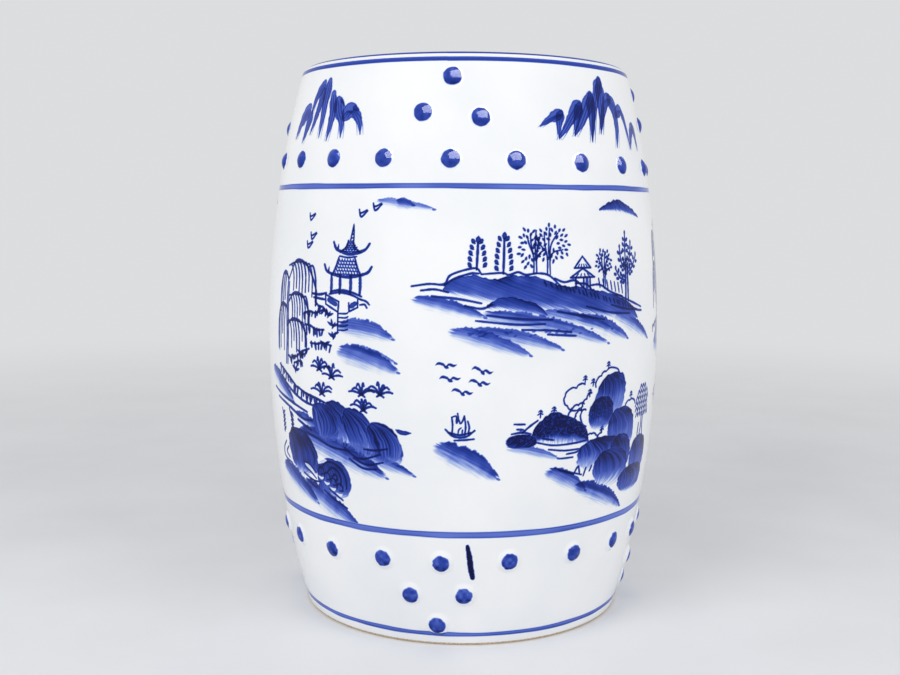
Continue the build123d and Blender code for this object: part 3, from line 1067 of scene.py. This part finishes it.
def add_painting(name, canvas, material):
    """The painted cells of a canvas as a skin of glaze that lies on the wall."""
    rows, columns = canvas.ink.shape
    quads = grid_faces(rows, columns)
    quads = quads[canvas.ink.ravel()[quads].max(1) > LEAST_INK]
    used, quads = np.unique(quads, return_inverse=True)
    quads = quads.reshape(-1, 4)
    along, up = np.meshgrid(canvas.along, canvas.up)
    along, up = along.ravel()[used], up.ravel()[used]
    points = on_wall(along / PAINT_RADIUS, up, PAINT_LIFT)
    piece = add_piece(name, points, quads, material, canvas.ink.ravel()[used])
    across = (along - along.min()) / np.ptp(along)
    above = (up - up.min()) / np.ptp(up)
    uv = piece.data.uv_layers.new(name="OFBake")
    corners = np.stack([across, above], -1)[quads.ravel()]
    uv.data.foreach_set("uv", corners.astype(np.float32).ravel())


def add_paintings(glaze):
    """Landscapes and peaks on the front and again on the back, the lines and the tally stroke."""
    lowest = RING_LINES["base_line"][1]
    scenes = (
        ("shore", shore, -67, -2, lowest, SCENE_TOP), ("island", island, -10, 72, 222, SCENE_TOP),
        ("cove", cove, -4, 74, lowest, 228.5), ("side_bank", side_bank, 72.5, 110, 140, SCENE_TOP),
    )
    ranges = (("left_peaks", -42.0, LEFT_RANGE), ("right_peaks", 47.0, RIGHT_RANGE))
    for count, (side, turn) in enumerate((("front", 0.0), ("back", 180.0))):
        for scene, paint, left, right, low, high in scenes:
            canvas = Canvas(left + turn, right + turn, low, high)
            paint(canvas, turn, 11 + 100 * count)
            add_painting(f"{side}_{scene}", canvas, glaze)
        for scene, bearing, strokes in ranges:
            middle = bearing + turn
            canvas = Canvas(middle - 24, middle + 28, PEAKS_FOOT - 8, PEAKS_FOOT + 56)
            mountains(canvas, middle, 31 + 100 * count, strokes)
            add_painting(f"{side}_{scene}", canvas, glaze)
    for count, (name, (low, high)) in enumerate(RING_LINES.items()):
        canvas = Canvas(-180, 180, low - 1.5, high + 1.5, grain_along=RING_GRAIN)
        ring_line(canvas, low, high, 51 + 10 * count)
        add_painting(name, canvas, glaze)
    canvas = Canvas(TALLY_BEARING - 2.6, TALLY_BEARING + 2.9, TALLY_HEIGHT - 16, TALLY_HEIGHT + 16)
    tally_stroke(canvas, 91)
    add_painting("tally_stroke", canvas, glaze)


# Materials


def linear(red, green, blue):
    """A colour written in screen values from 0 to 255, as the shader wants it."""
    shares = [value / 255.0 for value in (red, green, blue)]
    return tuple(s / 12.92 if s <= 0.04045 else ((s + 0.055) / 1.055) ** 2.4 for s in shares) + (1.0,)


# Colours by their place on a ramp: cobalt by the amount of ink, the others by noise
INK_COLOURS = (
    (0.0, (255, 255, 255)), (0.2, (186, 203, 242)), (0.45, (105, 128, 217)), (0.7, (53, 78, 178)),
    (0.88, (20, 48, 142)), (1.0, (3, 8, 66)),
)
GLAZE_COLOURS = ((0.35, (241, 243, 245)), (0.65, (247, 248, 249)))
BISQUE_COLOURS = ((0.35, (176, 152, 122)), (0.5, (206, 186, 158)), (0.62, (222, 206, 182)))
FLOOR_COLOURS = ((0.3, (234, 235, 237)), (0.7, (240, 241, 243)))

# How dull each surface is, from its least to its most, and how strongly the glaze mirrors
GLAZE_ROUGHNESS = (0.05, 0.12)
BISQUE_ROUGHNESS = (0.75, 0.95)
FLOOR_ROUGHNESS = 0.75
GLAZE_SHINE = 0.16


def add_node(tree, kind, **settings):
    """A new node with these settings."""
    node = tree.nodes.new(kind)
    for name, value in settings.items():
        setattr(node, name, value)
    return node


def colour_ramp(tree, stops):
    """A ramp through colours at their places."""
    node = add_node(tree, "ShaderNodeValToRGB")
    elements = node.color_ramp.elements
    while len(elements) < len(stops):
        elements.new(0.5)
    for element, (place, colour) in zip(elements, stops):
        element.position = place
        element.color = linear(*colour)
    return node


def noise(tree, scale, detail=3.0):
    """Noise in the stool's own coordinates, in waves of about one over the scale in metres."""
    where = add_node(tree, "ShaderNodeTexCoord")
    node = add_node(tree, "ShaderNodeTexNoise")
    node.inputs["Scale"].default_value = scale
    node.inputs["Detail"].default_value = detail
    tree.links.new(where.outputs["Object"], node.inputs["Vector"])
    return node


def bump(tree, shader, source, strength, distance):
    """Raises and sinks a shader's surface by a value."""
    node = add_node(tree, "ShaderNodeBump")
    node.inputs["Strength"].default_value = strength
    node.inputs["Distance"].default_value = distance
    tree.links.new(source, node.inputs["Height"])
    tree.links.new(node.outputs["Normal"], shader.inputs["Normal"])


def spread(tree, source, low, high):
    """A value from 0 to 1 spread between two others."""
    node = add_node(tree, "ShaderNodeMapRange")
    node.inputs["To Min"].default_value = low
    node.inputs["To Max"].default_value = high
    tree.links.new(source, node.inputs["Value"])
    return node.outputs["Result"]


def new_material(name):
    """A material, its node tree and its shader."""
    material = bpy.data.materials.new(name)
    material.use_nodes = True
    return material, material.node_tree, material.node_tree.nodes["Principled BSDF"]


def glaze_material(name):
    """Clear glaze over white, with cobalt where the mesh carries it."""
    material, tree, shader = new_material(name)
    white = colour_ramp(tree, GLAZE_COLOURS)
    tree.links.new(noise(tree, 14.0).outputs["Fac"], white.inputs["Fac"])
    ink = add_node(tree, "ShaderNodeAttribute", attribute_name="ink")
    cobalt = colour_ramp(tree, INK_COLOURS)
    tree.links.new(ink.outputs["Fac"], cobalt.inputs["Fac"])
    tint = add_node(tree, "ShaderNodeMix", data_type="RGBA", blend_type="MULTIPLY")
    tint.inputs["Factor"].default_value = 1.0
    tree.links.new(white.outputs["Color"], tint.inputs["A"])
    tree.links.new(cobalt.outputs["Color"], tint.inputs["B"])
    tree.links.new(tint.outputs["Result"], shader.inputs["Base Color"])
    dull = spread(tree, noise(tree, 60.0).outputs["Fac"], *GLAZE_ROUGHNESS)
    tree.links.new(dull, shader.inputs["Roughness"])
    shader.inputs["Specular IOR Level"].default_value = GLAZE_SHINE
    bump(tree, shader, noise(tree, 26.0, 2.0).outputs["Fac"], 0.05, 0.004)
    return material


def bisque_material():
    """Bare fired clay, speckled and dull."""
    material, tree, shader = new_material("bisque")
    grain = noise(tree, 900.0, 4.0)
    clay = colour_ramp(tree, BISQUE_COLOURS)
    tree.links.new(grain.outputs["Fac"], clay.inputs["Fac"])
    tree.links.new(clay.outputs["Color"], shader.inputs["Base Color"])
    dull = spread(tree, grain.outputs["Fac"], *BISQUE_ROUGHNESS)
    tree.links.new(dull, shader.inputs["Roughness"])
    bump(tree, shader, grain.outputs["Fac"], 0.4, 0.0006)
    return material


# Light, floor and camera


# The studio's colour, and the share of it that lights the stool
STUDIO_COLOUR = (0.72, 0.725, 0.735, 1.0)
STUDIO_LIGHT = 0.82

# Lamps: where each stands and its width and height, in metres, and its power in watts
KEY_LAMP = ((-0.9, -1.3, 1.2), (0.9, 1.2), 11.0)
FILL_LAMP = ((1.3, -0.9, 1.0), (0.9, 1.2), 7.5)
WINDOW_LAMP = ((0.77, -1.16, 1.69), (3.2, 2.1), 500.0)
LAMPS_AIM = Vector((0.0, 0.0, 0.24))

# Floor: how far it reaches each way, and between which distances it fades into the studio
FLOOR_REACH = 4.0
FLOOR_FADE = (0.5, 2.2)


def add_world():
    """An even studio that is pale behind the stool."""
    world = bpy.data.worlds.new("studio")
    world.use_nodes = True
    bpy.context.scene.world = world
    tree = world.node_tree
    rays = add_node(tree, "ShaderNodeLightPath")
    seen = rays.outputs["Is Camera Ray"]
    for ray in ("Is Glossy Ray", "Is Transmission Ray"):
        either = add_node(tree, "ShaderNodeMath", operation="MAXIMUM")
        tree.links.new(seen, either.inputs[0])
        tree.links.new(rays.outputs[ray], either.inputs[1])
        seen = either.outputs[0]
    light = tree.nodes["Background"]
    light.inputs["Color"].default_value = STUDIO_COLOUR
    tree.links.new(spread(tree, seen, STUDIO_LIGHT, 1.0), light.inputs["Strength"])


def add_lamp(name, place, size, power, mirrors=()):
    """A soft lamp that lights the stool, or one that is only mirrored in the glaze of some pieces."""
    data = bpy.data.lights.new(name, "AREA")
    data.shape = "RECTANGLE"
    data.size, data.size_y = size
    data.energy = power
    lamp = bpy.data.objects.new(name, data)
    lamp.location = place
    lamp.visible_glossy = bool(mirrors)
    lamp.visible_diffuse = not mirrors
    if mirrors:
        glossy = bpy.data.collections.new(name)
        for piece in mirrors:
            glossy.objects.link(piece)
        lamp.light_linking.receiver_collection = glossy
    aim = LAMPS_AIM - lamp.location
    lamp.rotation_euler = aim.to_track_quat("-Z", "Y").to_euler()
    bpy.context.scene.collection.objects.link(lamp)


def floor_material():
    """A pale surface that runs out into the studio's own colour."""
    material, tree, shader = new_material("pale_floor")
    shade = colour_ramp(tree, FLOOR_COLOURS)
    tree.links.new(noise(tree, 6.0).outputs["Fac"], shade.inputs["Fac"])
    tree.links.new(shade.outputs["Color"], shader.inputs["Base Color"])
    shader.inputs["Roughness"].default_value = FLOOR_ROUGHNESS
    studio = add_node(tree, "ShaderNodeEmission")
    studio.inputs["Color"].default_value = STUDIO_COLOUR
    where = add_node(tree, "ShaderNodeTexCoord")
    far = add_node(tree, "ShaderNodeVectorMath", operation="LENGTH")
    tree.links.new(where.outputs["Object"], far.inputs[0])
    out = add_node(tree, "ShaderNodeMapRange", interpolation_type="SMOOTHSTEP")
    out.inputs["From Min"].default_value, out.inputs["From Max"].default_value = FLOOR_FADE
    tree.links.new(far.outputs["Value"], out.inputs["Value"])
    blend = add_node(tree, "ShaderNodeMixShader")
    tree.links.new(out.outputs["Result"], blend.inputs["Fac"])
    tree.links.new(shader.outputs["BSDF"], blend.inputs[1])
    tree.links.new(studio.outputs["Emission"], blend.inputs[2])
    tree.links.new(blend.outputs["Shader"], tree.nodes["Material Output"].inputs["Surface"])
    return material


def add_floor():
    """A square floor under the stool."""
    mesh = bpy.data.meshes.new("floor")
    far = FLOOR_REACH
    corners = [(-far, -far, 0), (far, -far, 0), (far, far, 0), (-far, far, 0)]
    mesh.from_pydata(corners, [], [(0, 1, 2, 3)])
    mesh.materials.append(floor_material())
    floor = bpy.data.objects.new("floor", mesh)
    bpy.context.scene.collection.objects.link(floor)


# The camera stands a little to the right of the front, at about three quarters of the stool's height
CAMERA_BEARING = math.radians(5.0)
CAMERA_DISTANCE = 0.9909
CAMERA_HEIGHT = 0.3391
CAMERA_LENS = 44.5
CAMERA_SENSOR = 36.0
CAMERA_SHIFT = -0.095
CAMERA_DROP = math.radians(2.176)
CAMERA_ASIDE = math.radians(0.70)
CAMERA_ROLL = math.radians(0.40)


def add_camera():
    """The camera of the photo."""
    data = bpy.data.cameras.new("photo_view")
    data.lens = CAMERA_LENS
    data.sensor_width = CAMERA_SENSOR
    data.shift_y = CAMERA_SHIFT
    camera = bpy.data.objects.new("photo_view", data)
    aside, back = math.sin(CAMERA_BEARING), -math.cos(CAMERA_BEARING)
    camera.location = (CAMERA_DISTANCE * aside, CAMERA_DISTANCE * back, CAMERA_HEIGHT)
    camera.rotation_euler = (math.pi / 2 - CAMERA_DROP, -CAMERA_ROLL, CAMERA_BEARING + CAMERA_ASIDE)
    bpy.context.scene.collection.objects.link(camera)
    bpy.context.scene.camera = camera


white_glaze = glaze_material("white_glaze")
cobalt_glaze = glaze_material("cobalt_glaze")
bisque = bisque_material()
add_wall(white_glaze, bisque)
add_seat(white_glaze)
add_foot(white_glaze, bisque)
upper_studs = add_stud_band("upper", cobalt_glaze, "cobalt_glaze", full_spot)
add_stud_band("lower", white_glaze, "white_glaze", small_spot)
add_paintings(white_glaze)
add_world()
add_lamp("key", *KEY_LAMP)
add_lamp("fill", *FILL_LAMP)
add_lamp("window", *WINDOW_LAMP, mirrors=upper_studs)
add_floor()
add_camera()
bpy.context.scene.view_settings.view_transform = "Standard"
